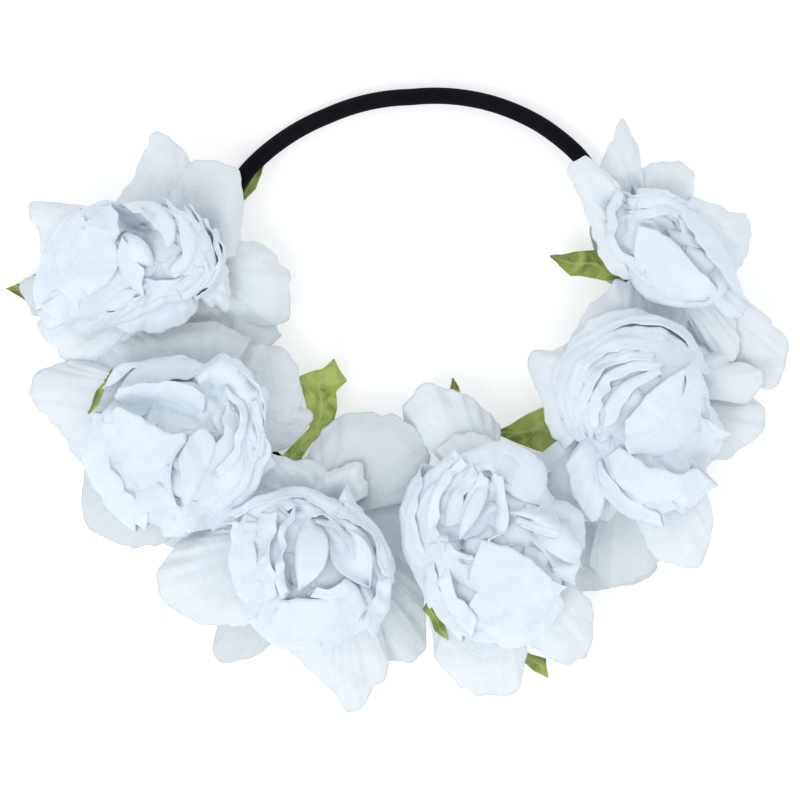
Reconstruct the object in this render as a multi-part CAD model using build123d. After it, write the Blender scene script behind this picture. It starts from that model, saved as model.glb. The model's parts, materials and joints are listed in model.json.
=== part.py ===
from build123d import *
import os
from math import cos, hypot, radians, sin, sqrt, tan

# Flower crown: six paper roses and nine leaves carried by a closed elastic ring.
# Units are millimetres. The crown lies flat: origin at the ring's centre on the
# surface it rests on, +Z up (the way the roses open), +Y to the bare back of the
# ring, +X to the wearer's left as the crown is looked down on.

# Elastic ring
ring_radius = 75.0          # centre of the crown to the middle of the cord
cord_radius = 3.0
cord_end_gap = 0.2          # the cord's two ends stand this far apart in the join
join_angle = 268.7          # where the ends meet, out of sight between two roses
join_length = 16.0
join_wall = 0.75
snug_gap = 0.05             # clearance of a sleeve that grips the cord

# Felt pads: a flat sole under each rose, with a loop round the cord at each end
pad_length = 27.0           # along the cord
pad_width = 20.0
pad_thickness = 1.5
pad_corner = 7.0
loop_wall = 1.55
loop_length = 4.6
loop_sink = 0.3             # how deep a loop is bonded into the sole

# Band wrap: the taped wire coil by which a rose turns on the cord
wrap_length = 14.0
wrap_wall = 0.6
wrap_end_gap = 0.4
running_gap = 0.1           # wrap to cord, where the curved cord comes closest
max_roll = 35.0             # from lying flat to worn, degrees

# Rose, in its own frame: the cord's centre at the origin and the bloom along +Z
stem_radius = 2.0
stem_seat_gap = 0.05        # stem to the wrap it is taped on
stem_bore_gap = 0.1         # calyx to stem
petal_seat_gap = 0.2        # a petal's claw to the stem
paper_thickness = 0.6
hip_bottom = 8.0
hip_radius = 5.2
hip_height = 4.2
sepal_count = 5
sepal_reach = 15.0
sepal_half_width = 4.0
claw_gap = 0.8              # top of the hip to the lowest petal's claw
whorl_step = 1.0            # each petal lies this much inside the one before it
outer_bowl = 80.0           # radius of the shallow bowl that the outer petals follow
middle_bowl = 28.0
middle_count = 5
middle_rim_angle = 88.0     # from the bottom of the bowl up to the rim
middle_half_width = 18.0
inner_bowl = 18.0
inner_count = 4
inner_rim_angle = 106.0
inner_half_width = 12.0
bud_radius = 10.0
bud_height = 17.0
bud_roll_pitch = 2.2        # spacing of the turns of the rolled centre petal
bud_turns = 3
bud_socket = 6.0            # how far the stem runs up inside the bud
neighbour_gap = 1.5         # kept free between one rose's petals and the next rose's

# Leaves
leaf_thickness = 0.6
petiole_radius = 0.7
petiole_height = 6.4        # where a petiole leaves the rose's stem
petiole_overlap = 3.0
petiole_gap = 0.2

loop_radius = cord_radius + snug_gap + loop_wall
cord_height = pad_thickness + loop_radius - loop_sink
cord_sag = (wrap_length / 2) ** 2 / (2 * ring_radius)
wrap_bore = cord_radius + cord_sag + running_gap
wrap_radius = wrap_bore + wrap_wall
outer_base = hip_bottom + hip_height + claw_gap     # height of the lowest petal's claw
middle_base = outer_base + 6 * whorl_step
inner_base = middle_base + middle_count * whorl_step
bud_base = inner_base + inner_count * whorl_step + 1.5

# Each rose: its angle round the ring, its lean outward from straight up, the
# turn of its inner whorls, and its outer petals from the lowest up, each as
# (azimuth from outward, reach, half width, pointed tip)
roses = [
    (170.2, 27.5, 12, [(173, 50, 22, False), (-125, 44, 20, False), (-90, 42, 13, True),
                       (60, 36, 20, False), (-15, 44, 15, True)]),
    (207.6, 23.6, 40, [(166, 44, 20, False), (-132, 35, 18, False), (105, 34, 18, False),
                       (-45, 50, 17, False), (24, 46, 24, False)]),
    (247.6, 28.0, 5, [(170, 48, 20, False), (-146, 36, 18, False), (72, 44, 14, False),
                      (-55, 52, 20, False), (38, 58, 20, True), (-14, 46, 14, False)]),
    (289.8, 15.8, 30, [(-176, 52, 18, False), (-110, 32, 16, False), (64, 48, 20, False),
                       (-25, 54, 20, False), (16, 48, 16, False)]),
    (335.8, 12.0, 55, [(-167, 34, 20, False), (142, 42, 20, False), (92, 42, 14, True),
                       (-93, 40, 14, False), (-50, 54, 18, False), (13, 48, 20, False)]),
    (15.6, 22.0, 20, [(131, 45, 20, False), (-160, 36, 20, False), (104, 40, 10, True),
                      (-64, 56, 18, False), (65, 38, 14, False), (-4, 50, 20, False)]),
]

# Each leaf: the rose that carries it (0 for the cord), the blade's base and tip,
# and its half width
leaves = [
    (0, (-62, 27, 1.3), (-54, 56, 1.3), 7.0),
    (1, (-104, 6, 5.2), (-146, 5, 4.8), 11.0),
    (2, (-97, -36, 5.2), (-132, -31, 4.8), 9.0),
    (3, (-46, -58, 12.2), (-27, -22, 10.5), 10.0),
    (4, (20, -56, 12.2), (12, -30, 11.0), 4.5),
    (5, (50, -50, 12.2), (42, -33, 11.4), 10.0),
    (6, (66, 11, 12.0), (47, 16.5, 10.5), 5.5),
    (4, (10, -98, 5.4), (4, -120, 4.8), 5.0),
    (4, (32, -103, 5.2), (45, -132, 4.8), 6.0),
]
lobed_leaf = 4


def ring_place(angle):
    """The frame on the cord at an angle round the ring: X outward, Y along the cord."""
    heading = radians(angle)
    spot = (ring_radius * cos(heading), ring_radius * sin(heading), cord_height)
    return Location(spot, (0, 0, angle))


def ring_sleeve(inner, outer, start, length):
    """A tube that follows the ring, from an angle round it and along its length."""
    section = Plane.XZ * Pos(ring_radius, 0) * (Circle(outer) - Circle(inner))
    arc = length / radians(ring_radius)
    return Location((0, 0, cord_height), (0, 0, start)) * revolve(section, Axis.Z, arc)


def elastic_band():
    section = Plane.XZ * Pos(ring_radius, 0) * Circle(cord_radius)
    slit = cord_end_gap / radians(ring_radius)
    seat = Location((0, 0, cord_height), (0, 0, join_angle + slit / 2))
    return seat * revolve(section, Axis.Z, 360 - slit)


def band_join():
    start = join_angle - join_length / 2 / radians(ring_radius)
    grip = cord_radius + snug_gap
    return ring_sleeve(grip, grip + join_wall, start, join_length)


def felt_pad(angle):
    """A sole on the resting plane with two loops that grip the cord beside the wrap."""
    sole = extrude(RectangleRounded(pad_width, pad_length, pad_corner), pad_thickness)
    pad = Location((0, 0, -cord_height)) * sole
    pad = ring_place(angle) * pad
    clear_of_wrap = (wrap_length / 2 + wrap_end_gap) / (ring_radius - loop_radius)
    offset = clear_of_wrap / radians(1)
    span = loop_length / radians(ring_radius)
    for start in (angle + offset, angle - offset - span):
        pad += ring_sleeve(cord_radius + snug_gap, loop_radius, start, loop_length)
    return pad.solid()


def band_wrap():
    tube = Cylinder(wrap_radius, wrap_length) - Cylinder(wrap_bore, wrap_length)
    return Rot(90, 0, 0) * tube


def stem():
    post = extrude(Circle(stem_radius), bud_base + bud_socket)
    return post - Rot(90, 0, 0) * Cylinder(wrap_radius + stem_seat_gap, wrap_length)


def petal_outline(half_width, bottom, top, pointed):
    """A petal seen from outside: a narrow claw, full shoulders, a round or pointed tip."""
    claw = half_width * 0.35
    shoulder = bottom + (top - bottom) * (0.45 if pointed else 0.62)
    swell = bottom + (shoulder - bottom) * 0.5
    right = ThreePointArc((claw, bottom), (half_width * 0.82, swell), (half_width, shoulder))
    if pointed:
        rise = shoulder + (top - shoulder) * 0.55
        tip = [ThreePointArc((half_width, shoulder), (half_width * 0.62, rise), (0, top)),
               ThreePointArc((0, top), (-half_width * 0.62, rise), (-half_width, shoulder))]
    else:
        tip = [ThreePointArc((half_width, shoulder), (0, top), (-half_width, shoulder))]
    left = ThreePointArc((-half_width, shoulder), (-half_width * 0.82, swell), (-claw, bottom))
    foot = Line((-claw, bottom), (claw, bottom))
    return make_face([right, *tip, left, foot])


def petal(bowl, base, rim_height, azimuth, half_width, pointed=False):
    """A lobe of a thin round bowl that stands on the stem at a height."""
    shell = Sphere(bowl) - Sphere(bowl - paper_thickness)
    shell = Pos(0, 0, base + bowl) * Rot(0, 0, 180) * shell
    outline = petal_outline(half_width, base - 1, rim_height, pointed)
    facing = Plane(origin=(0, 0, 0), x_dir=(0, 1, 0), z_dir=(1, 0, 0))
    lobe = shell & extrude(facing * outline, bowl + 1)
    lobe -= Cylinder(stem_radius + petal_seat_gap, 2 * (base + 2 * bowl))
    return Rot(0, 0, azimuth) * lobe.solids().sort_by(SortBy.VOLUME)[-1]


def bowl_height(bowl, base, reach):
    return base + bowl - sqrt(bowl ** 2 - reach ** 2)


def side_gaps(index):
    """Half the angle to the next rose on each side, or a quarter turn on the bare back."""
    gaps = {}
    for side, other in ((1, index + 1), (-1, index - 1)):
        gap = 90.0
        if 0 <= other < len(roses):
            gap = abs(roses[other][0] - roses[index][0]) % 360 / 2
            gap = min(gap, 180 - gap)
        gaps[side] = min(gap, 60.0)
    return gaps


def free_reach(index, azimuth, half_width, wanted):
    """The reach that a petal has before it would cross into a neighbour's sector."""
    reach = wanted
    gaps = side_gaps(index)
    spread = half_width / wanted * 0.8
    for turn, share in ((-spread, 0.88), (0.0, 1.0), (spread, 0.88)):
        direction = radians(azimuth) + turn
        wall = tan(radians(gaps[1 if sin(direction) > 0 else -1]))
        for lean in (roses[index][1], roses[index][1] + max_roll):
            middle = ring_radius + (outer_base + 5) * sin(radians(lean))
            slope = abs(sin(direction)) - cos(direction) * cos(radians(lean)) * wall
            if slope > 0:
                reach = min(reach, (middle * wall - neighbour_gap) / slope / share)
    return reach


def calyx():
    """The hip round the stem, with pointed sepals under the outer petals."""
    bore = stem_radius + stem_bore_gap
    top = hip_bottom + hip_height
    side = Spline((bore + 0.4, hip_bottom), (hip_radius * 0.8, hip_bottom + hip_height * 0.4),
                  (hip_radius, top))
    rest = Polyline((hip_radius, top), (bore, top), (bore, hip_bottom), (bore + 0.4, hip_bottom))
    hip = revolve(Plane.XZ * make_face([side, rest]), Axis.Z)
    bowl = outer_bowl + whorl_step
    base = top - paper_thickness * 0.6
    rim = bowl_height(bowl, base, sepal_reach)
    for turn in range(sepal_count):
        azimuth = 36 + turn * 360 / sepal_count
        hip += petal(bowl, base, rim, azimuth, sepal_half_width, True)
    return hip.solid()


def outer_petals(index):
    lobes = []
    for order, (azimuth, wanted, half_width, pointed) in enumerate(roses[index][3]):
        reach = free_reach(index, azimuth, half_width, wanted)
        bowl = outer_bowl - order * whorl_step
        base = outer_base + order * whorl_step
        width = half_width * min(1, reach / wanted * 1.1)
        lobes.append(petal(bowl, base, bowl_height(bowl, base, reach), azimuth, width, pointed))
    return lobes


def cup_whorl(count, bowl, base, rim_angle, half_width, twist):
    """A whorl of overlapping cupped petals, each one sheet inside the one before."""
    lobes = []
    for order in range(count):
        radius = bowl - order * whorl_step
        low = base + order * whorl_step
        rim = low + radius * (1 - cos(radians(rim_angle)))
        azimuth = twist + order * 2 * 360 / count + (order * 2 // count) * 7
        lobes.append(petal(radius, low, rim, azimuth, half_width * radius / bowl))
    return lobes


def bud():
    """The rolled centre petal: a spiral strip domed at its top and tapered below."""
    start = stem_radius + petal_seat_gap
    steps = 12
    turns = [step / steps for step in range(bud_turns * steps + 1)]

    def edge(extra):
        points = []
        for turn in turns:
            radius = start + extra + bud_roll_pitch * turn
            points.append((radius * cos(radians(360 * turn)), radius * sin(radians(360 * turn))))
        return points

    inside, outside = edge(0), edge(paper_thickness)
    strip = make_face([Spline(*inside), Line(inside[-1], outside[-1]),
                       Spline(*outside), Line(inside[0], outside[0])])
    roll = Pos(0, 0, bud_base) * extrude(strip, bud_height)
    dome = Pos(0, 0, bud_base + bud_radius) * Sphere(bud_radius)
    return (roll & dome).solids().sort_by(SortBy.VOLUME)[-1]


def leaf_outline(length, half_width, lobed):
    if not lobed:
        far = ThreePointArc((0, 0.6), (length * 0.42, half_width), (length, 0))
        near = ThreePointArc((0, -0.6), (length * 0.42, -half_width), (length, 0))
        return make_face([far, near, Line((0, -0.6), (0, 0.6))])
    tips = [(0, 0.6), (length * 0.35, half_width * 0.75), (length * 0.8, half_width),
            (length * 0.84, half_width * 0.35), (length, half_width * 0.3),
            (length * 0.9, -half_width * 0.3), (length * 0.92, -half_width * 0.9),
            (length * 0.4, -half_width * 0.8), (0, -0.6)]
    return make_face(Polyline(*tips, close=True))


def rose_frame(index):
    angle, lean = roses[index][:2]
    return ring_place(angle) * Rot(0, lean, 0)


def leaf(number):
    """A leaf blade with the wire petiole that ties it to its rose's stem or the cord."""
    carrier, base, tip, half_width = leaves[number - 1]
    base, tip = Vector(*base), Vector(*tip)
    along = (tip - base).normalized()
    across = Vector(0, 0, 1).cross(along)
    seat = Plane(origin=base, x_dir=along, z_dir=along.cross(across))
    outline = leaf_outline((tip - base).length, half_width, number == lobed_leaf)
    blade = extrude(seat * outline, leaf_thickness / 2, both=True)
    if carrier:
        frame = rose_frame(carrier - 1)
        root = (frame * Pos(0, 0, petiole_height)).position
    else:
        spread = hypot(base.X, base.Y)
        reach = ring_radius / spread
        root = Vector(base.X * reach, base.Y * reach, base.Z)
    run = base + along * petiole_overlap - root
    wire = extrude(Plane(origin=root, z_dir=run) * Circle(petiole_radius), run.length)
    if carrier:
        wire -= frame * Cylinder(stem_radius + petiole_gap, 4 * petiole_height)
    return (blade + wire).solid()


def write(shape, node):
    export_step(shape, f"parts/{node}.step")


write(elastic_band(), "elastic_band")
write(band_join(), "band_join")
for index in range(len(roses)):
    place = rose_frame(index)
    angle, lean, twist, _ = roses[index]
    name = f"rose_{index + 1}"
    write(felt_pad(angle), f"{name}_felt_pad")
    write(ring_place(angle) * band_wrap(), f"{name}_band_wrap")
    write(place * stem(), f"{name}_stem")
    write(place * calyx(), f"{name}_calyx")
    middle = cup_whorl(middle_count, middle_bowl, middle_base, middle_rim_angle,
                       middle_half_width, twist)
    inner = cup_whorl(inner_count, inner_bowl, inner_base, inner_rim_angle,
                      inner_half_width, twist + 25)
    for whorl, lobes in (("outer", outer_petals(index)), ("middle", middle), ("inner", inner)):
        write(place * Compound(children=lobes), f"{name}_{whorl}_petals")
    write(place * bud(), f"{name}_bud")
for number in range(1, len(leaves) + 1):
    write(leaf(number), f"leaf_{number}")
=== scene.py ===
import json
import math

import bpy
import numpy as np
from mathutils import Matrix, Vector, noise


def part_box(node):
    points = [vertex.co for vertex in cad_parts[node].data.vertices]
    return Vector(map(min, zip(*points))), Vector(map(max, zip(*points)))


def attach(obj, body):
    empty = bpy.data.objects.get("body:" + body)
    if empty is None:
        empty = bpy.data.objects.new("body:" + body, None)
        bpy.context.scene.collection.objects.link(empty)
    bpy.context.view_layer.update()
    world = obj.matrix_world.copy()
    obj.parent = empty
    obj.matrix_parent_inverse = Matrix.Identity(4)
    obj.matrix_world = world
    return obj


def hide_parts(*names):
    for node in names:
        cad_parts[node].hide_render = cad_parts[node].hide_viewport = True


# Flower crown: six crumpled paper roses and nine pressed leaves on a covered
# elastic ring, lying flat and looked down on. Places are millimetres in the frame and
# bearings are degrees from +X, anticlockwise from above; meshes are in metres.

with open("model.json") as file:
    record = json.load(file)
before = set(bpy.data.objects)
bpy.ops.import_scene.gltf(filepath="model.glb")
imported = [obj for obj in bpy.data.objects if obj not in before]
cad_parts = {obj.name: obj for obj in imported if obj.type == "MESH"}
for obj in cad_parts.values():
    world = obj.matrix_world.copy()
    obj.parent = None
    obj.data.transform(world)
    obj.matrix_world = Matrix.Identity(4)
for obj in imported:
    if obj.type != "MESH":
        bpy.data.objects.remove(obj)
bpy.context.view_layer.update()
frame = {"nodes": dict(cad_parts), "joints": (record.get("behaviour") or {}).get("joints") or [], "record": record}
joints = {joint["child"]: joint for joint in frame["joints"]}

MM = 0.001
TAU = 2 * math.pi
PAPER = 0.32            # thickness of petal paper
LEAF_CLOTH = 0.4
PETIOLE_HEIGHT = 6.4    # where a petiole leaves its rose's stem
CLAW = {"outer": 13.5, "middle": 19.0, "inner": 24.0, "bud": 28.0}  # up the stem

# Each rose: the spot where its core closes, and its petals from the outermost in, as
# (whorl, height of the rim, height, rim, shoulder). A flared petal has no shoulder and
# its height is its crown above the rim; a cupped one's is the shoulder's. A rim or
# shoulder is (first bearing, last bearing, reaches from the heart at even bearings
# between them), seen from above; a negative reach lies across the heart.
# A "shaded" petal is an outer petal whose paper is painted darker all over: painted shade for a petal that lies in
# the shade of its neighbours.
PETALS = {
    1: ((-88, 12), [
        ("shaded", 15, 3, (-65, -19, 24, 28, 32, 35)),
        ("shaded", 15, 3, (178, 208, 32, 50, 50, 49, 36)),
        ("outer", 17, 5, (28, -40, 22, 34, 41, 45, 45, 28)),
        ("outer", 22, 5, (-166, -108, 38, 49, 48, 46, 34, 25)),
        ("outer", 27, 5, (199, 133, 39, 40, 41, 45, 51, 35, 25)),
        ("outer", 26, 5, (148, 61, 26, 27, 28, 30, 35, 47, 42, 36, 31)),
        ("outer", 29, 5, (92, 6, 24, 35, 40, 42, 36, 31, 28, 24)),
        ("outer", 30, 4, (-50, 8, 12, 26, 25, 22, 19)),
        ("middle", 33, 6, (-147, -37, 27, 27, 24, 21, 20, 15)),
        ("middle", 35, 6, (-165, -143, 42, 46, 44, 27)),
        ("middle", 42, 33, (34, -44, 19, 20, 19, 17, 15), (34, -44, 21, 21, 20, 18, 16)),
        ("middle", 44, 35, (48, -38, 20, 19, 17, 15, 14), (44, -42, 21, 20, 20, 18, 15)),
        ("middle", 40, 33, (147, 199, 28, 30, 32, 34, 35), (144, 201, 31, 35, 37, 40, 41)),
        ("middle", 47, 39, (63, -15, 21, 18, 15, 11, 8), (60, -24, 21, 19, 17, 15, 9)),
        ("middle", 49, 36, (-155, 6, 10, 6, 5, 5, 9, 15), (-136, -13, 22, 17, 14, 13, 16, 17)),
        ("inner", 46, 36, (-164, -156, 33, 25, 18, 13, 9), (-160, -134, 40, 39, 33, 25, 19)),
        ("inner", 48, 37, (150, 196, 28, 22, 20, 21, 25), (140, 212, 29, 33, 36, 37, 33, 29)),
        ("inner", 50, 40, (130, 200, 20, 14, 12, 12, 16), (128, 205, 25, 27, 28, 29, 25)),
        ("inner", 50, 42, (59, -5, 18, 14, 11, 8, 5), (69, -29, 21, 18, 15, 12, 8)),
        ("inner", 52, 45, (80, 5, 18, 13, 9, 7, 4), (85, -45, 21, 17, 14, 10, 6)),
        ("bud", 52, 43, (118, 70, 17, 14, 10, 7, 4), (122, 50, 23, 21, 19, 16, 10)),
        ("bud", 52, 45, (150, 235, 9, 6, 4, 4, 7), (140, 250, 15, 14, 13, 12, 12)),
    ]),
    2: ((-68, -45), [
        ("shaded", 22, 4, (-124, -88, 45, 44, 39, 31)),
        ("shaded", 14, 3, (140, 59, 47, 48, 48, 48, 45, 39)),
        ("outer", 18, 5, (81, -28, 30, 35, 33, 28, 21, 17)),
        ("outer", 15, 4, (32, -33, 18, 28, 31, 26, 22, 14)),
        ("shaded", 24, 4, (152, 73, 50, 48, 42, 39, 37, 33)),
        ("outer", 25, 5, (152, 206, 52, 66, 67, 57, 52, 49, 42)),
        ("shaded", 27, 6, (-170, -112, 46, 52, 57, 54, 48, 38)),
        ("middle", 32, 6, (-128, -84, 38, 41, 36, 31, 24)),
        ("middle", 38, 34, (156, 108, 38, 36, 30, 27, 25, 15), (160, 101, 40, 39, 33, 29, 26, 16)),
        ("middle", 42, 8, (112, -5, 22, 27, 24, 21, 17, 14)),
        ("middle", 44, 37, (91, -34, 20, 20, 15, 13, 12), (84, -26, 23, 20, 16, 14, 14)),
        ("middle", 39, 31, (172, 225, 38, 41, 41, 39), (170, 230, 40, 44, 43, 41)),
        ("middle", 43, 33, (168, 230, 34, 36, 36, 35), (168, 232, 38, 42, 42, 39)),
        ("middle", 44, 32, (-94, -25, 12, 12, 13, 18), (-110, -30, 37, 28, 20, 20)),
        ("inner", 47, 43, (156, 112, 34, 27, 22, 17, 11), (163, 130, 34, 27, 19, 13, 8)),
        ("inner", 45, 38, (60, -70, 12, 10, 9, 9, 11), (62, -74, 16, 14, 13, 14, 16)),
        ("inner", 47, 37, (-122, -98, 21, 14, 7, 0, -6, -12), (-109, 72, 33, 20, 12, 8, 8, 12)),
        ("inner", 47, 41, (43, -34, 14, 11, 11, 13), (44, -29, 16, 14, 14, 15)),
        ("inner", 48, 42, (83, -93, 12, 9, 6, 5, 8, 12), (83, -93, 15, 12, 9, 8, 11, 15)),
        ("inner", 49, 39, (-133, -200, 18, 13, 9, 6, 3), (-118, -95, 34, 26, 17, 9, 4)),
        ("bud", 51, 38, (166, 228, 34, 16, 10, 12, 17, 25), (176, 244, 35, 36, 36, 34, 33, 26)),
    ]),
    3: ((-31, -86), [
        ("outer", 16, 3, (54, -24, 40, 41, 38, 34, 29)),
        ("shaded", 20, 4, (107, 28, 32, 43, 49, 52, 48, 37)),
        ("outer", 24, 4, (155, 73, 41, 42, 35, 29, 24)),
        ("shaded", 17, 4, (-64, -10, 45, 49, 46, 39, 34, 28)),
        ("shaded", 17, 3, (-151, -119, 39, 50, 55, 48, 37)),
        ("outer", 25, 6, (170, 228, 44, 56, 61, 55, 45, 34)),
        ("outer", 22, 4, (-127, -55, 32, 35, 38, 42, 48, 57, 51, 47, 31)),
        ("outer", 27, 4, (107, 53, 23, 28, 31, 24)),
        ("middle", 36, 6, (76, -51, 23, 18, 17, 22, 25, 28)),
        ("middle", 36, 4, (-149, -125, 32, 34, 32)),
        ("middle", 39, 7, (167, 33, 40, 29, 22, 19, 16, 14)),
        ("middle", 41, 34, (73, -20, 14, 14, 14, 16, 20), (73, -24, 18, 17, 18, 20, 23)),
        ("middle", 43, 36, (160, 82, 31, 25, 20, 15, 10), (158, 71, 34, 28, 24, 19, 15)),
        ("middle", 42, 33, (-17, -63, 15, 18, 22, 25), (-10, -62, 20, 23, 27, 31)),
        ("middle", 45, 34, (-145, -50, 26, 18, 15, 14, 12, 14), (-140, -53, 34, 36, 34, 32, 27, 22)),
        ("inner", 45, 38, (78, -22, 11, 12, 13, 15, 18), (74, -20, 15, 15, 16, 18, 21)),
        ("inner", 45, 37, (162, 220, 29, 27, 27, 29), (162, 221, 32, 32, 32)),
        ("inner", 46, 40, (157, 218, 25, 23, 23, 24), (160, 216, 28, 27, 27)),
        ("inner", 48, 41, (140, 220, 20, 18, 18, 18, 20), (150, 217, 25, 22, 22, 24)),
        ("inner", 48, 42, (125, 225, 16, 14, 13, 14, 17), (125, 222, 19, 18, 17, 18, 20)),
        ("inner", 47, 41, (110, -10, 9, 7, 6, 6, 7), (112, -14, 12, 11, 10, 10, 11)),
        ("bud", 47, 42, (-105, -55, 11, 11, 11, 10), (-112, -50, 15, 15, 15, 14)),
    ]),
    4: ((16, -82), [
        ("outer", 17, 4, (119, 72, 45, 55, 52, 47, 40)),
        ("shaded", 12, 3, (-26, 6, 44, 58, 68, 61, 47)),
        ("outer", 25, 4, (109, 38, 32, 37, 36, 38, 44)),
        ("outer", 22, 6, (-114, -61, 28, 43, 51, 55, 57, 45)),
        ("outer", 26, 6, (-62, -20, 38, 53, 58, 55, 50, 38)),
        ("outer", 32, 8, (114, 244, 27, 22, 20, 20, 23)),
        ("middle", 36, 5, (30, -5, 30, 39, 41, 41)),
        ("middle", 40, 31, (125, 247, 24, 17, 13, 14, 22), (115, 244, 28, 23, 20, 19, 23)),
        ("middle", 37, 6, (-109, -74, 21, 31, 36)),
        ("middle", 45, 37, (26, 89, 27, 20, 20, 23, 20), (22, 92, 27, 36, 37, 34, 28)),
        ("middle", 42, 35, (93, 137, 28, 22, 17, 11), (94, 144, 29, 24, 18, 12)),
        ("middle", 44, 37, (88, 170, 25, 18, 13, 10, 8), (90, 183, 27, 21, 15, 12, 9)),
        ("middle", 41, 34, (-162, -90, 9, 11, 15, 20, 27), (-167, -89, 10, 13, 19, 25, 32)),
        ("middle", 46, 34, (-80, -28, 16, 20, 28, 34), (-88, -32, 24, 38, 40, 38)),
        ("inner", 44, 37, (-136, -82, 5, 8, 13, 19, 27), (-149, -84, 7, 11, 16, 23, 31)),
        ("inner", 46, 40, (75, 115, 21, 15, 9, 5), (84, 140, 25, 17, 12, 8)),
        ("inner", 48, 43, (70, 64, 21, 15, 9, 3), (76, 110, 23, 16, 10, 5)),
        ("inner", 47, 41, (10, -22, 18, 21, 27, 33), (17, -21, 25, 33, 38, 38)),
        ("inner", 46, 7, (45, -14, 17, 22, 30, 38, 40)),
        ("inner", 50, 40, (2, -24, 4, 12, 18, 25, 33), (-89, -23, 16, 20, 26, 33, 36)),
        ("bud", 50, 45, (60, 2, 24, 18, 15, 12, 8), (68, 0, 23, 16, 12, 10, 7)),
        ("bud", 50, 45, (20, 2, 16, 18, 22, 28), (26, 6, 19, 22, 26, 31)),
        ("bud", 47, 41, (-170, -60, 3, 3, 3, 4), (-175, -55, 6, 6, 6, 7)),
    ]),
    5: ((65, -46), [
        ("outer", 13, 3, (58, 13, 57, 58, 58, 51)),
        ("outer", 27, 3, (-162, -75, 26, 28, 30, 31)),
        ("shaded", 22, 4, (-97, -65, 46, 53, 53, 51, 47)),
        ("outer", 20, 4, (22, -18, 42, 52, 56, 51, 45, 38)),
        ("outer", 25, 4, (-76, -25, 36, 48, 56, 51, 44, 38)),
        ("outer", 25, 5, (125, 62, 29, 34, 39, 47, 54, 53, 42)),
        ("shaded", 27, 4, (80, 48, 45, 55, 60, 55, 42)),
        ("outer", 27, 5, (53, 12, 44, 43, 47, 52, 58, 50)),
        ("outer", 31, 6, (200, 116, 16, 18, 22, 28, 38, 32)),
        ("middle", 35, 6, (140, 30, 26, 33, 40, 44, 43, 40)),
        ("middle", 36, 7, (23, -23, 33, 38, 40, 38, 34)),
        ("middle", 36, 5, (-160, -86, 12, 18, 21, 25, 30, 20)),
        ("middle", 36, 6, (-56, -18, 29, 38, 38, 33)),
        ("middle", 40, 32, (153, 33, 15, 23, 29, 36, 40, 36), (159, 31, 15, 26, 32, 38, 43, 39)),
        ("middle", 43, 35, (151, 16, 13, 20, 25, 31, 35, 33, 24), (157, 13, 14, 21, 28, 35, 39, 37, 28)),
        ("middle", 44, 37, (24, 7, 17, 23, 29, 34), (-7, 1, 20, 29, 37, 40)),
        ("middle", 42, 34, (-116, -58, 6, 9, 13, 21, 30), (-117, -57, 8, 11, 17, 26, 33)),
        ("middle", 44, 35, (-72, -22, 8, 15, 22, 28, 33), (-80, -23, 14, 24, 33, 38)),
        ("inner", 46, 39, (147, 48, 10, 16, 22, 27, 30, 30), (156, 45, 11, 19, 26, 31, 34, 35)),
        ("inner", 48, 42, (144, 59, 7, 12, 18, 24, 27), (153, 61, 8, 15, 21, 27, 31)),
        ("inner", 47, 39, (-50, -22, 4, 13, 20, 27, 31), (-100, -22, 6, 16, 25, 32, 36)),
        ("inner", 49, 41, (5, 43, 4, 15, 22, 28, 31), (-40, 43, 9, 20, 28, 33, 36)),
        ("bud", 50, 45, (136, 51, 4, 9, 15, 21, 26), (151, 53, 6, 11, 18, 25, 30)),
        ("bud", 52, 47, (85, 49, 3, 9, 16, 26), (117, 55, 5, 12, 19, 27)),
        ("bud", 51, 44, (50, 43, 5, 14, 23, 31), (-7, 43, 7, 18, 26, 33)),
    ]),
    6: ((71, 26), [
        ("outer", 19, 5, (-54, -28, 62, 76, 76, 73, 67, 45)),
        ("outer", 31, 5, (120, 62, 20, 23, 27, 36, 27, 18, 13)),
        ("outer", 30, 5, (84, 11, 18, 23, 29, 28, 22)),
        ("outer", 27, 5, (-57, -39, 50, 59, 60, 56, 48)),
        ("outer", 33, 7, (24, -30, 26, 31, 43, 43, 43, 38)),
        ("outer", 36, 7, (283, 106, 21, 19, 17, 15, 13, 12, 12, 12, 14, 18, 27, 27, 17)),
        ("middle", 36, 6, (-45, -29, 36, 50, 50, 38)),
        ("middle", 41, 8, (77, -15, 12, 15, 18, 22, 27)),
        ("middle", 40, 7, (-78, -30, 20, 30, 36, 38)),
        ("middle", 44, 38, (95, 292, 8, 4, 3, 4, 8, 14), (100, 290, 11, 8, 6, 8, 12, 18)),
        ("inner", 46, 39, (45, -12, 5, 11, 15, 19), (59, -15, 10, 15, 20, 27)),
        ("inner", 46, 39, (10, -32, 15, 19, 25, 39), (10, -30, 23, 28, 35, 44)),
        ("bud", 48, 38, (-10, -35, 3, 11, 19, 31), (-78, -36, 14, 27, 34, 37)),
        ("bud", 48, 44, (14, 6, 3, 9, 15), (50, 8, 6, 12, 18)),
    ]),
}

# Folds that are seen whole, from each heart: (base and tip from the heart, how far the
# left and right edges bulge, heights of base, middle and tip, crown)
BLADES = {
    1: [((-12, 10), (-1, -1), (3, 4.5), (47, 52, 48), 1.5)],
    3: [((-7, 13), (-9.5, -13), (8.5, 2.5), (39, 50, 46), 1.5),
        ((2, 8), (14, -11.5), (7, 6), (42, 49, 47), -4)],
    4: [((7.5, 21), (-2, 0), (2, 2.5), (44, 51, 47), 1.2)],
}

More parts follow.
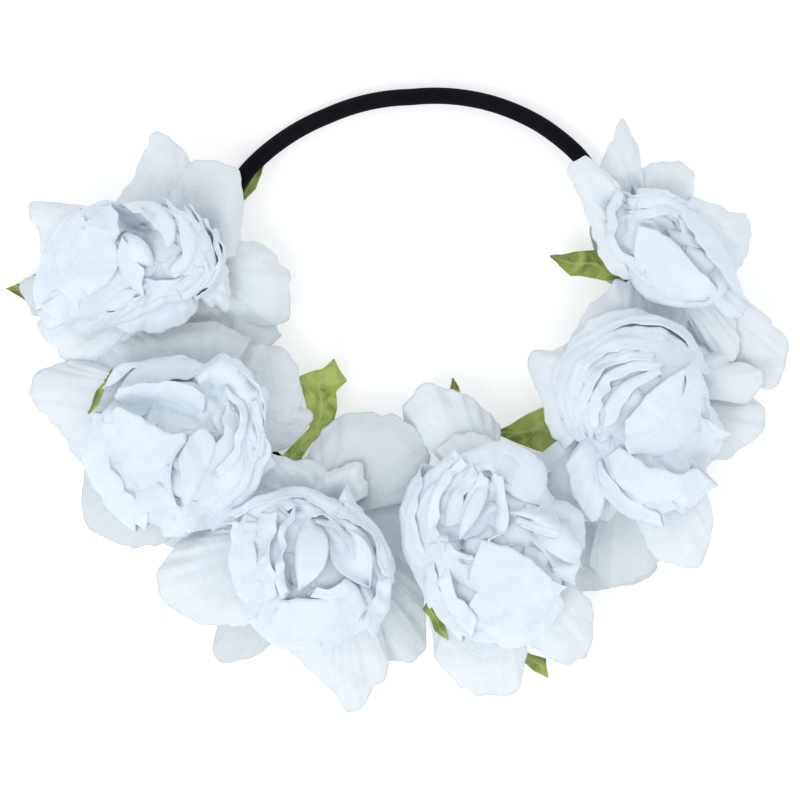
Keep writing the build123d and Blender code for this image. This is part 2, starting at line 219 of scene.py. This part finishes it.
# Each leaf: base and tip of its midrib, its fold, and its half widths to the left and
# the right of the midrib at even steps from the base to the tip
LEAVES = {
    1: ((-64, 31, 1.6), (-54, 51, 1.8), 0.1, [0.6, 2.8, 3.4, 2.3, 0.2], [0.6, -0.5, 2, 1.6, 0.2]),
    2: ((-120, 5, 5.5), (-145, 5, 5.5), 0.25, [1.4, 7.5, 7.7, 3.8, 0], [1.4, 6, 6.2, 2.8, 0]),
    3: ((-105, -24, 28), (-114, -39, 29), 0.1, [0.8, 0.2, 0.7, 0.9, 0.1], [0.8, 1.2, 1.3, 1, 0.1]),
    4: ((-46, -57, 12), (-30, -20, 10), 0.15,
        [4, 2, 0, -2, 1, 4.5, 8.5, 2.5, 0.1], [4, 3.8, 5, 7.5, 9.6, 8.4, 5.8, 8, 0.2]),
    5: ((14, -41, 11), (12, -26.5, 10), 0.1, [1.2, 1.9, 2, 1.4, 0.2], [1.2, 2.1, 2, 1.5, 0.2]),
    6: ((60, -45, 12.5), (27, -46, 11.5), 0.15, [7, 10, 6.8, 4, 0.1], [7, 10.7, 8.5, 4.8, 0.1]),
    7: ((74, 9, 12), (46, 16, 11), 0.15,
        [1.4, 2.2, 3.7, 4, 4.4, 4.9, 2.8, 0.2], [1.4, 0.5, 1.2, 6.7, 5.3, 3.9, 1.6, 0.2]),
    8: ((5, -101, 25), (10, -117, 25), 0.3, [0.7, -0.3, -0.5, 0, 0.2], [0.7, 5.2, 3.6, 3.3, 0.2]),
    9: ((32, -119, 8), (45, -132, 8), 0.2, [1.1, 0.7, 2.2, 5, 0.3], [1.1, 1.7, 1.5, 1.6, 0.1]),
}


# ---------------------------------------------------------------- materials

def material(name, colour, roughness):
    """A node material and its Principled shader."""
    made = bpy.data.materials.new(name)
    made.use_nodes = True
    shader = made.node_tree.nodes["Principled BSDF"]
    shader.inputs["Base Color"].default_value = (*colour, 1)
    shader.inputs["Roughness"].default_value = roughness
    return made, made.node_tree, shader


def node(tree, kind, **values):
    made = tree.nodes.new(kind)
    for name, value in values.items():
        if name in made.inputs:
            made.inputs[name].default_value = value
        else:
            setattr(made, name, value)
    return made


def place(tree, scale=(1, 1, 1), source="Object"):
    """Texture coordinates: the object's own in metres, or its UV map, scaled."""
    start = node(tree, "ShaderNodeTexCoord")
    mapping = node(tree, "ShaderNodeMapping")
    mapping.inputs["Scale"].default_value = scale
    tree.links.new(start.outputs[source], mapping.inputs["Vector"])
    return mapping.outputs["Vector"]


def noise_at(tree, vector, scale, detail=4.0, rough=0.55, distortion=0.0):
    made = node(tree, "ShaderNodeTexNoise", Scale=scale, Detail=detail, Roughness=rough,
                Distortion=distortion)
    tree.links.new(vector, made.inputs["Vector"])
    return made.outputs["Fac"]


def ramp(tree, fac, stops):
    made = node(tree, "ShaderNodeValToRGB")
    band = made.color_ramp
    while len(band.elements) < len(stops):
        band.elements.new(0.5)
    for element, (spot, colour) in zip(band.elements, stops):
        element.position = spot
        element.color = (*colour, 1)
    tree.links.new(fac, made.inputs["Fac"])
    return made.outputs["Color"]


def mix(tree, fac, first, second, blend="MIX"):
    made = node(tree, "ShaderNodeMix", data_type="RGBA", blend_type=blend)
    for socket, value in zip((made.inputs[0], made.inputs[6], made.inputs[7]), (fac, first, second)):
        if isinstance(value, bpy.types.NodeSocket):
            tree.links.new(value, socket)
        else:
            socket.default_value = value if isinstance(value, float) else (*value, 1)
    return made.outputs[2]


def bump(tree, shader, layers):
    """Stacks bump layers, each (height socket, strength, distance in millimetres)."""
    last = None
    for height, strength, distance in layers:
        made = node(tree, "ShaderNodeBump", Strength=strength, Distance=distance * MM)
        tree.links.new(height, made.inputs["Height"])
        if last:
            tree.links.new(last, made.inputs["Normal"])
        last = made.outputs["Normal"]
    tree.links.new(last, shader.inputs["Normal"])


def paper(name, light, shade):
    """Soft crumpled petal paper: creases that run up the petal and a fine crepe grain."""
    made, tree, shader = material(name, light, 0.8)
    shader.inputs["Sheen Weight"].default_value = 0.1
    shader.inputs["Subsurface Weight"].default_value = 0.15
    shader.inputs["Subsurface Radius"].default_value = (0.0016, 0.0018, 0.002)
    shader.inputs["Specular IOR Level"].default_value = 0.25
    own = place(tree)
    along = place(tree, (2.0, 1.0, 1.0), "UV")
    tone = noise_at(tree, own, 70.0, 3.0)
    # The tint attribute mixes the paper toward a darker shade colour: painted shade on shaded petals and on the
    # linings, and a small random tone on the rest.
    tint = node(tree, "ShaderNodeAttribute", attribute_name="tint")
    patch = ramp(tree, tone, [(0.32, shade), (0.6, light)])
    colour = mix(tree, tint.outputs["Fac"], patch, tuple(part * 0.9 for part in shade))
    tree.links.new(colour, shader.inputs["Base Color"])
    streak = noise_at(tree, along, 1.0, 3.0, 0.6)
    bump(tree, shader, [(noise_at(tree, own, 170.0, 4.0, 0.55, 0.9), 0.7, 0.9),
                        (streak, 0.5, 0.4),
                        (noise_at(tree, own, 480.0, 3.0, 0.6, 0.8), 0.7, 0.45),
                        (noise_at(tree, own, 1500.0, 3.0, 0.6), 0.4, 0.14)])
    return made


def leaf_cloth():
    """Pressed yellow-green leaf cloth: soft blotches, paler veins and a fine weave."""
    light, middle, dark = (0.45, 0.535, 0.13), (0.295, 0.37, 0.06), (0.12, 0.16, 0.014)
    made, tree, shader = material("leaf_cloth", middle, 0.62)
    shader.inputs["Sheen Weight"].default_value = 0.1
    own = place(tree)
    tone = noise_at(tree, own, 120.0, 5.0, 0.6, 0.6)
    colour = ramp(tree, tone, [(0.36, dark), (0.5, middle), (0.66, light)])
    vein = node(tree, "ShaderNodeAttribute", attribute_name="tint")
    colour = mix(tree, vein.outputs["Fac"], colour, (0.46, 0.57, 0.19))
    tree.links.new(colour, shader.inputs["Base Color"])
    weave = node(tree, "ShaderNodeTexWave", Scale=700.0, Distortion=1.2, bands_direction="DIAGONAL")
    tree.links.new(own, weave.inputs["Vector"])
    bump(tree, shader, [(noise_at(tree, own, 420.0, 4.0, 0.6, 0.4), 0.5, 0.5),
                        (weave.outputs["Fac"], 0.2, 0.06)])
    return made


def covered_elastic():
    """Matt black knitted cover: fine ribs along the cord, with a little dusty lint."""
    made, tree, shader = material("covered_elastic", (0.004, 0.0045, 0.009), 0.85)
    shader.inputs["Specular IOR Level"].default_value = 0.12
    own = place(tree)
    ribs = place(tree, (1.0, 1.0, 1.0), "UV")
    wave = node(tree, "ShaderNodeTexWave", Scale=120.0, Distortion=0.4, bands_direction="X")
    tree.links.new(ribs, wave.inputs["Vector"])
    fibre = noise_at(tree, own, 2600.0, 3.0, 0.7)
    colour = ramp(tree, fibre, [(0.4, (0.002, 0.0025, 0.005)), (0.75, (0.008, 0.009, 0.015))])
    tree.links.new(colour, shader.inputs["Base Color"])
    bump(tree, shader, [(wave.outputs["Fac"], 0.4, 0.15), (fibre, 0.5, 0.1)])
    return made


def fibrous(name, dark, light, scale, roughness, strength):
    """Felt, crepe tape or creased calyx cloth: mottled fibre at its own scale."""
    made, tree, shader = material(name, light, roughness)
    shader.inputs["Sheen Weight"].default_value = 0.2
    own = place(tree)
    fibre = noise_at(tree, own, scale, 5.0, 0.65, 1.2)
    tree.links.new(ramp(tree, fibre, [(0.3, dark), (0.7, light)]), shader.inputs["Base Color"])
    bump(tree, shader, [(fibre, strength, 0.35), (noise_at(tree, own, scale * 5, 3.0), 0.4, 0.1)])
    return made


# ------------------------------------------------------------------- meshes

def smooth(value):
    value = np.clip(value, 0, 1)
    return value * value * (3 - 2 * value)


def unit(vectors):
    return vectors / np.maximum(np.linalg.norm(vectors, axis=-1, keepdims=True), 1e-9)


def field(points, seed):
    """Smooth vector noise at each point: what makes one petal's creases its own."""
    shift = Vector((seed * 3.71, seed * 1.37, seed * 2.93))
    flat = points.reshape(-1, 3)
    return np.array([noise.noise_vector(Vector(p) + shift) for p in flat]).reshape(points.shape)


def normals_of(points):
    return unit(np.cross(np.gradient(points, axis=0), np.gradient(points, axis=1)))


def grid(rows, columns):
    return np.meshgrid(np.linspace(0, 1, rows), np.linspace(-1, 1, columns), indexing="ij")


def spline(points, count):
    """Evenly spaced points of the smooth curve through the given ones."""
    points = np.array(points, float)
    ends = np.vstack([2 * points[0] - points[1], points, 2 * points[-1] - points[-2]])
    t = np.linspace(0, 1, 12, endpoint=False)[:, None]
    run = []
    for a, b, c, d in zip(ends, ends[1:], ends[2:], ends[3:]):
        run.append(0.5 * (2 * b + (c - a) * t + (2 * a - 5 * b + 4 * c - d) * t ** 2
                          + (3 * b - a - 3 * c + d) * t ** 3))
    run = np.vstack([*run, points[-1:]])
    steps = np.concatenate([[0], np.cumsum(np.linalg.norm(np.diff(run, axis=0), axis=1))])
    even = np.linspace(0, steps[-1], count)
    return np.stack([np.interp(even, steps, run[:, axis]) for axis in (0, 1)], axis=1), steps[-1]


def build(name, sheets, finish, thickness):
    """One object from several grid sheets, each (points in mm, tint, width in mm)."""
    verts, faces, uvs, tints = [], [], [], []
    for points, tint, width in sheets:
        rows, columns = points.shape[:2]
        start = len(tints)
        verts.append(points.reshape(-1, 3) * MM)
        tints.extend(np.broadcast_to(tint, (rows, columns)).reshape(-1))
        u, v = np.meshgrid(np.linspace(0, 1, rows), np.linspace(0, width / 3.5, columns), indexing="ij")
        uvs.append(np.stack([u, v + 7.31 * len(verts)], axis=2).reshape(-1, 2))
        for row in range(rows - 1):
            for column in range(columns - 1):
                corner = start + row * columns + column
                faces.append((corner, corner + 1, corner + columns + 1, corner + columns))
    mesh = bpy.data.meshes.new(name)
    mesh.from_pydata([tuple(v) for v in np.vstack(verts)], [], faces)
    layer = mesh.uv_layers.new(name="petal")
    index = np.zeros(len(mesh.loops), int)
    mesh.loops.foreach_get("vertex_index", index)
    layer.data.foreach_set("uv", np.vstack(uvs)[index].astype(np.float32).reshape(-1))
    shade = mesh.attributes.new("tint", "FLOAT", "POINT")
    shade.data.foreach_set("value", np.array(tints, np.float32))
    mesh.polygons.foreach_set("use_smooth", [True] * len(faces))
    mesh.materials.append(finish)
    made = bpy.data.objects.new(name, mesh)
    bpy.context.scene.collection.objects.link(made)
    if thickness:
        solid = made.modifiers.new("thickness", "SOLIDIFY")
        solid.thickness = thickness * MM
        solid.offset = 0
    return made


def stands_for(piece, body, slot, *nodes):
    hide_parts(*nodes)
    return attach(piece, body)


# ------------------------------------------------------------------- petals

def rose_matrix(number):
    """The rose's own frame, from its joint on the cord and the run of its stem."""
    joint = joints[f"rose_{number}"]
    origin, along = Vector(joint["pos_m"]), Vector(joint["axis"])
    low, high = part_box(f"rose_{number}_stem")
    up = (low + high) / 2 - origin
    up = (up - along * up.dot(along)).normalized()
    axes = Matrix((along.cross(up), along, up)).transposed()
    return Matrix.Translation(origin) @ axes.to_4x4()


def stem_spot(number, height):
    return np.array(rose_matrix(number) @ Vector((0, 0, height * MM))) / MM


def crumple(points, t, width, seed, amount):
    """Creases that run up the petal, deeper to its edge, and a softer overall crumple."""
    rng = np.random.default_rng(seed)
    rows, columns = points.shape[:2]
    across = np.broadcast_to(np.linspace(0, width, columns), (rows, columns))
    fine = field(np.stack([across / 4.2, t * 1.6, t * 0], axis=2), seed)[..., 0]
    finer = field(np.stack([across / 1.9, t * 3.0, t * 0 + 5], axis=2), seed)[..., 1]
    wave = np.sin(across / rng.uniform(2.2, 3.2) + rng.uniform(0, TAU))
    depth = amount * (0.25 + 0.75 * smooth((t - 0.25) / 0.75))
    lift = (1.5 * fine + 0.5 * finer + 0.25 * wave * smooth((t - 0.7) / 0.3)) * depth
    points = points + normals_of(points) * lift[..., None]
    return points + field(points / 11.0, 7) * (0.9 * t[..., None])


def ceiling(spots, cloud):
    """Height of the highest point already placed near each spot, or nan over open air."""
    if not len(cloud):
        return np.full(len(spots), np.nan)
    gap = ((spots[:, None, :2] - cloud[None, :, :2]) ** 2).sum(axis=2)
    tops = np.where(gap < 2.2 ** 2, cloud[None, :, 2], -np.inf).max(axis=1)
    return np.where(np.isfinite(tops), tops, np.nan)


def tucked(spots, cloud, drop, low, high):
    """Heights that lie a drop below what is already there, and the given one elsewhere."""
    roof = ceiling(spots, cloud)
    height = np.where(np.isnan(roof), low, np.clip(roof - drop, low, high))
    for _ in range(4):
        height[1:-1] = (height[:-2] + 2 * height[1:-1] + height[2:]) / 4
    return height


def arc(heart, line, count):
    """A rim or shoulder: the smooth line through reaches at even bearings round the heart."""
    first, last, *reaches = line
    turn = np.radians(np.linspace(first, last, len(reaches)))
    spin = np.stack([np.cos(turn), np.sin(turn)], axis=1)
    return spline(heart + np.array(reaches)[:, None] * spin, count)


def petal(number, heart, whorl, top, low, rim, swell, seed, cloud=(), hidden=False):
    """A sheet that leaves the stem, swings out over its shoulder and ends at its rim."""
    rows, columns = (40, 56) if whorl == "outer" else (34, 48)
    t, v = grid(rows, columns)
    rng = np.random.default_rng(seed)
    edge, width = arc(heart, rim, columns)
    claw = stem_spot(number, CLAW[whorl])
    away = unit(edge - claw[:2])
    ripple = np.interp(np.linspace(0, width, columns), np.arange(0, width + 6, 3.0),
                       rng.normal(0, 0.55, len(np.arange(0, width + 6, 3.0))))
    edge = edge + away * ripple[:, None]
    line = np.linspace(-1, 1, columns)
    height = top - (2.2 if swell is None else 1.0) * np.abs(line) ** 2.5
    height = height + 0.6 * np.roll(ripple, 3)
    end = np.column_stack([edge, height])
    start = np.column_stack([claw[:2] + 2.4 * away, np.full(columns, claw[2])])
    if swell is None:
        turn = start + 0.5 * (end - start)
        turn[:, 2] = top + 1.7 * low
    else:
        shoulder = arc(heart, swell, columns)[0]
        if hidden:
            end[:, 2] = tucked(edge, cloud, 4.5, top - 3, 60)
            height = np.minimum(tucked(shoulder, cloud, 4.5, low, 60), end[:, 2] + 2)
        else:
            height = tucked(shoulder, cloud, 2.2, low, top - 1.5)
        shoulder = np.column_stack([shoulder, height])
        turn = 2 * shoulder - (start + end) / 2
    t = t ** 0.85 if swell is None else 1 - (1 - t) ** 1.15
    k = t[..., None]
    points = (1 - k) ** 2 * start + 2 * k * (1 - k) * turn + k ** 2 * end
    if swell is None:
        points[..., 2] -= 1.8 * smooth((t - 0.8) / 0.2)
    else:
        lip = smooth((t - 0.84) / 0.16) ** 1.5 * rng.uniform(0.8, 1.8)
        points[..., :2] += unit(edge - heart)[None] * lip[..., None]
        points[..., 2] += 0.5 * lip
    return crumple(points, t, width, seed, 0.75 if whorl == "outer" else 0.65), width


def blade(heart, base, tip, bulge, heights, crown, seed):
    """A fold of the heart seen whole, from where it rises to its tip, between its edges."""
    rows, columns = 36, 22
    u, v = grid(rows, columns)
    base, tip = heart + base, heart + tip
    run = tip - base
    left = unit(np.array([-run[1], run[0]]))
    half = np.where(v < 0, bulge[0], bulge[1]) * np.sin(math.pi * u ** 0.9) ** 0.8 + 0.3 * (1 - u)
    flat = base + run * u[..., None] - left * (half * v)[..., None]
    low, middle, high = heights
    height = (1 - u) * (1 - 2 * u) * low + 4 * u * (1 - u) * middle + u * (2 * u - 1) * high
    height = height + crown * (1 - v ** 2)
    span = float(sum(bulge))
    return crumple(np.dstack([flat, height]), u, span, seed, 0.4), span


def cup(number, heart, turns, outline, cloud):
    """The full cup the core is packed into: up from the stem, then just below what shows."""
    rows, columns, drop = 30, 97, 2.4
    t, v = grid(rows, columns)
    spin = np.dstack([np.cos(v * math.pi), np.sin(v * math.pi)])
    reach = np.interp(v * math.pi, turns, outline) * 0.86 * (1 - t)
    flat = heart + spin * reach[..., None]
    roof = ceiling(flat.reshape(-1, 2), cloud).reshape(rows, columns) - drop
    open_air = ~(roof > np.interp(t, [0, 0.4], [0, 37]))
    height = np.where(open_air, np.median(roof[~open_air]), roof)
    for _ in range(40):
        across = (np.roll(height[:, :-1], 1, axis=1) + np.roll(height[:, :-1], -1, axis=1)) / 2
        across = np.column_stack([across, across[:, 0]])
        down = (height[np.maximum(np.arange(rows) - 1, 0)]
                + height[np.minimum(np.arange(rows) + 1, rows - 1)]) / 2
        blur = (across + down) / 2
        height = np.where(open_air, blur, np.minimum(blur, roof))
    height[-1] = height[-1].mean()
    points = np.dstack([flat, height])
    points = points + field(points / 5.0, number + 40) * 0.9
    claw = stem_spot(number, CLAW["middle"])
    foot = np.column_stack([claw[:2] + 2.4 * spin[0], np.full(columns, claw[2])])
    share = np.linspace(0, 1, 8, endpoint=False)[:, None, None]
    return np.vstack([foot + (points[0] - foot) * share, points]), float(TAU * outline.mean())


def linings(number, heart, petals, cloud):
    """Plain folds below the petals that show, so that no gap between them looks hollow."""
    spots = np.vstack([arc(heart, entry[4], 12)[0] for entry in petals if len(entry) > 4]) - heart
    angles, reaches = np.arctan2(spots[:, 1], spots[:, 0]), np.hypot(*spots.T)
    turns = np.linspace(-math.pi, math.pi, 25)
    outline = []
    for turn in turns:
        gap = np.abs((angles - turn + math.pi) % TAU - math.pi)
        near = reaches[gap < math.radians(16)]
        outline.append(near.max() if len(near) else np.nan)
    outline = np.array(outline)
    known = ~np.isnan(outline)
    outline = np.interp(turns, turns[known], outline[known])
    made = [("middle", *cup(number, heart, turns, outline, cloud))]
    rings = [(0.90, 0.60, 37, 28, 4), (0.76, 0.46, 40, 31, 4), (0.60, 0.32, 42, 34, 3),
             (0.44, 0.20, 43, 37, 3), (0.28, 0.08, 44, 39, 2)]
    for ring, (wide, narrow, top, low, count) in enumerate(rings):
        for order in range(count):
            seed = number * 100 + 60 + ring * 5 + order
            middle = math.radians(ring * 50 + number * 70) + TAU * order / count
            run = np.linspace(middle - 1.25 * math.pi / count, middle + 1.25 * math.pi / count, 9)
            reach = np.interp((run + math.pi) % TAU - math.pi, turns, outline)
            bearings = math.degrees(run[0]), math.degrees(run[-1])
            rim, swell = (*bearings, *(reach * narrow)), (*bearings, *(reach * wide))
            whorl = "middle" if ring < 2 else "inner" if ring < 4 else "bud"
            made.append((whorl, *petal(number, heart, whorl, top, low, rim, swell, seed, cloud, True)))
    return made


def rose(number):
    heart, petals = PETALS[number]
    heart = np.array(heart, float)
    body = f"rose_{number}"
    whorls = {"outer": [], "middle": [], "inner": [], "bud": []}
    cloud = np.zeros((0, 3))
    for order, (whorl, top, low, rim, *shoulder) in enumerate(petals):
        seed = number * 100 + order
        shaded = whorl == "shaded"
        whorl = "outer" if shaded else whorl
        swell = shoulder[0] if shoulder else None
        points, width = petal(number, heart, whorl, top, low, rim, swell, seed, cloud)
        share = np.random.default_rng(seed).random()
        # Shaded petals get the full painted shade; the other petals get a random tone, which can reach a little
        # darker on the outer whorl.
        tint = 1.0 if shaded else 0.35 * share if whorl == "outer" else 0.2 * share
        whorls[whorl].append((points, tint, width))
        cloud = np.vstack([cloud, points[points.shape[0] // 3::2, ::2].reshape(-1, 3)])
    for order, entry in enumerate(BLADES.get(number, [])):
        points, width = blade(heart, *entry, number * 100 + 50 + order)
        whorls["bud"].append((points, 0.05, width))
    # The linings are tinted a little darker than most petals: painted shade for the folds deep under the petals
    # that show.
    for whorl, points, width in linings(number, heart, petals, cloud):
        whorls[whorl].append((points, 0.3, width))
    for whorl, sheets in whorls.items():
        finish = {"outer": outer_paper, "bud": bud_paper}.get(whorl, petal_paper)
        slot = {"outer": "outer_petal_paper", "bud": "bud_paper"}.get(whorl, "petal_paper")
        replaced = f"{body}_bud" if whorl == "bud" else f"{body}_{whorl}_petals"
        piece = build(f"{replaced}_crumpled", sheets, finish, PAPER)
        stands_for(piece, body, slot, replaced)


# ------------------------------------------------------------------- leaves

def leaf(number):
    """A pressed leaf: folded midrib, raised veins, curled edges and a wire petiole."""
    base, tip, fold, left, right = LEAVES[number]
    base, tip = np.array(base, float), np.array(tip, float)
    rows, columns = 60, 29
    u, v = grid(rows, columns)
    run = (tip - base)[:2]
    beside = unit(np.array([-run[1], run[0]]))
    steps = np.linspace(0, 1, rows)
    widths = [np.interp(steps, np.linspace(0, 1, len(side)), side)[:, None] for side in (left, right)]
    across = widths[0] * (1 - v) / 2 - widths[1] * (1 + v) / 2
    flat = base[:2] + run * u[..., None] + beside * across[..., None]
    span = (widths[0] + widths[1]) / 2
    rib = np.exp(-(v / 0.09) ** 2) * smooth(span / 2)
    slant = (u * 6.0 - np.abs(v) * 0.9) % 1
    branch = np.exp(-((slant - 0.5) / 0.1) ** 2) * smooth((1 - np.abs(v)) * 4) * smooth(span / 4)
    rise = base[2] + (tip[2] - base[2]) * u + fold * np.abs(v) * span + 0.3 * rib + 0.2 * branch
    rise = rise + 0.5 * np.sin(u * 8 + number) * np.abs(v)
    points = np.dstack([flat, rise])
    points = points + field(points / 7.0, number + 90) * 0.7
    finish = [(points, np.clip(rib + 0.5 * branch, 0, 1) * 0.6, 2 * float(span.max()))]
    blade = build(f"leaf_{number}_blade", finish, leaf_green, LEAF_CLOTH)
    body = next(name for name, nodes in frame["record"]["behaviour"]["bodies"].items()
                if f"leaf_{number}" in nodes)
    if body == "band":
        ring = math.hypot(*list(joints["rose_1"]["pos_m"])[:2]) / MM
        root = np.array([*(base[:2] * ring / np.linalg.norm(base[:2])), base[2]])
    else:
        root = stem_spot(int(body[-1]), PETIOLE_HEIGHT)
    wire = petiole(f"leaf_{number}_petiole", root, points[2, columns // 2])
    stands_for(blade, body, "leaf_fabric", f"leaf_{number}")
    stands_for(wire, body, "leaf_fabric")


def petiole(name, root, end):
    """A taped wire that bows a little between the stem and the blade."""
    rows, columns = 24, 13
    t, ring = np.meshgrid(np.linspace(0, 1, rows), np.linspace(0, TAU, columns), indexing="ij")
    run = unit(end - root)
    side = unit(np.cross(run, [0, 0, 1.0]))
    top = np.cross(side, run)
    line = root + (end - root) * t[..., None] + side * (0.5 * np.sin(t * math.pi))[..., None]
    radius = 0.62 - 0.2 * t + 0.04 * np.sin(t * 70)
    points = line + side * (radius * np.cos(ring))[..., None] + top * (radius * np.sin(ring))[..., None]
    return build(name, [(points, 0.0, 4.0)], leaf_green, 0)


# --------------------------------------------------------------- the carrier

def elastic():
    """The covered cord: a closed ring with fine ribs, drawn a little flat at its bare back."""
    low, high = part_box("elastic_band")
    cord = (high.z - low.z) / 2 / MM
    ring = (high.x - low.x) / 2 / MM - cord
    centre = (high.z + low.z) / 2 / MM
    rows, columns = 721, 25
    t, s = np.meshgrid(np.linspace(0, TAU, rows), np.linspace(0, TAU, columns), indexing="ij")
    stations = np.radians([0, 28, 43, 56, 70, 92, 116, 130, 142, 156, 170, 360])
    pull = [0, 0.6, 1.7, 1.0, -0.3, -2.6, -1.9, -0.4, 1.0, 0.6, 0, 0]
    radius = cord - 0.06 + 0.06 * np.sin(t * 300 + s * 2)
    out = ring + np.interp(t, stations, pull) + radius * np.cos(s)
    points = np.stack([out * np.cos(t), out * np.sin(t), centre + radius * np.sin(s)], axis=2)
    for _ in range(6):
        points[1:-1] = (points[:-2] + 2 * points[1:-1] + points[2:]) / 4
    piece = build("elastic_cord", [(points, 0.0, 18.0)], band_black, 0)
    stands_for(piece, "band", "elastic", "elastic_band")


def finish_cad(names, finish):
    """Gives a carried-over CAD node its material."""
    for name in names:
        mesh = frame["nodes"][name].data
        mesh.materials.clear()
        mesh.materials.append(finish)


# ------------------------------------------------------------------- studio

def studio():
    centre = Vector((-0.0064, -0.0343, 0))
    height, frame_width = 1.1, 0.2832
    camera = bpy.data.cameras.new("camera")
    camera.sensor_width = 36
    camera.lens = camera.sensor_width * height / frame_width
    eye = bpy.data.objects.new("camera", camera)
    eye.location = centre + Vector((0, 0, height))
    bpy.context.scene.collection.objects.link(eye)
    bpy.context.scene.camera = eye

    floor_look, tree, shader = material("pale_floor", (0.8, 0.8, 0.8), 0.9)
    shader.inputs["Specular IOR Level"].default_value = 0.0
    shader.inputs["Emission Color"].default_value = (1, 1, 1, 1)
    shader.inputs["Emission Strength"].default_value = 0.4
    size = 3.0
    mesh = bpy.data.meshes.new("floor")
    corners = [(-size, -size, 0), (size, -size, 0), (size, size, 0), (-size, size, 0)]
    mesh.from_pydata(corners, [], [(0, 1, 2, 3)])
    mesh.materials.append(floor_look)
    floor = bpy.data.objects.new("floor", mesh)
    bpy.context.scene.collection.objects.link(floor)

    world = bpy.data.worlds.new("studio")
    bpy.context.scene.world = world
    world.use_nodes = True
    world.node_tree.nodes["Background"].inputs["Color"].default_value = (0.96, 0.98, 1, 1)
    world.node_tree.nodes["Background"].inputs["Strength"].default_value = 0.8
    lights = [("key", (-0.5, -0.7, 1.2), 0.8, 5.7), ("fill", (0.9, 0.6, 1.3), 1.2, 1.9)]
    for name, spot, width, power in lights:
        lamp = bpy.data.lights.new(name, "AREA")
        lamp.size = width
        lamp.energy = power
        holder = bpy.data.objects.new(name, lamp)
        holder.location = spot
        holder.rotation_euler = (centre - Vector(spot)).to_track_quat("-Z", "Y").to_euler()
        bpy.context.scene.collection.objects.link(holder)
    bpy.context.scene.view_settings.view_transform = "Standard"


petal_paper = paper("petal_paper", (0.815, 0.885, 0.95), (0.755, 0.83, 0.905))
bud_paper = paper("bud_paper", (0.815, 0.885, 0.945), (0.755, 0.83, 0.90))
outer_paper = paper("outer_petal_paper", (0.85, 0.90, 0.94), (0.79, 0.85, 0.885))
leaf_green = leaf_cloth()
band_black = covered_elastic()
felt = fibrous("felt", (0.5, 0.54, 0.57), (0.66, 0.7, 0.73), 900.0, 0.95, 0.6)
tape = fibrous("floral_tape", (0.06, 0.1, 0.025), (0.16, 0.22, 0.06), 500.0, 0.6, 0.7)
calyx_cloth = fibrous("calyx_cloth", (0.1, 0.15, 0.03), (0.24, 0.32, 0.08), 300.0, 0.65, 0.7)
sleeve = fibrous("join_sleeve", (0.004, 0.004, 0.005), (0.012, 0.012, 0.014), 1200.0, 0.5, 0.3)

elastic()
finish_cad(["band_join"], sleeve)
for number in PETALS:
    rose(number)
    finish_cad([f"rose_{number}_felt_pad"], felt)
    finish_cad([f"rose_{number}_band_wrap", f"rose_{number}_stem"], tape)
    finish_cad([f"rose_{number}_calyx"], calyx_cloth)
for number in LEAVES:
    leaf(number)
studio()
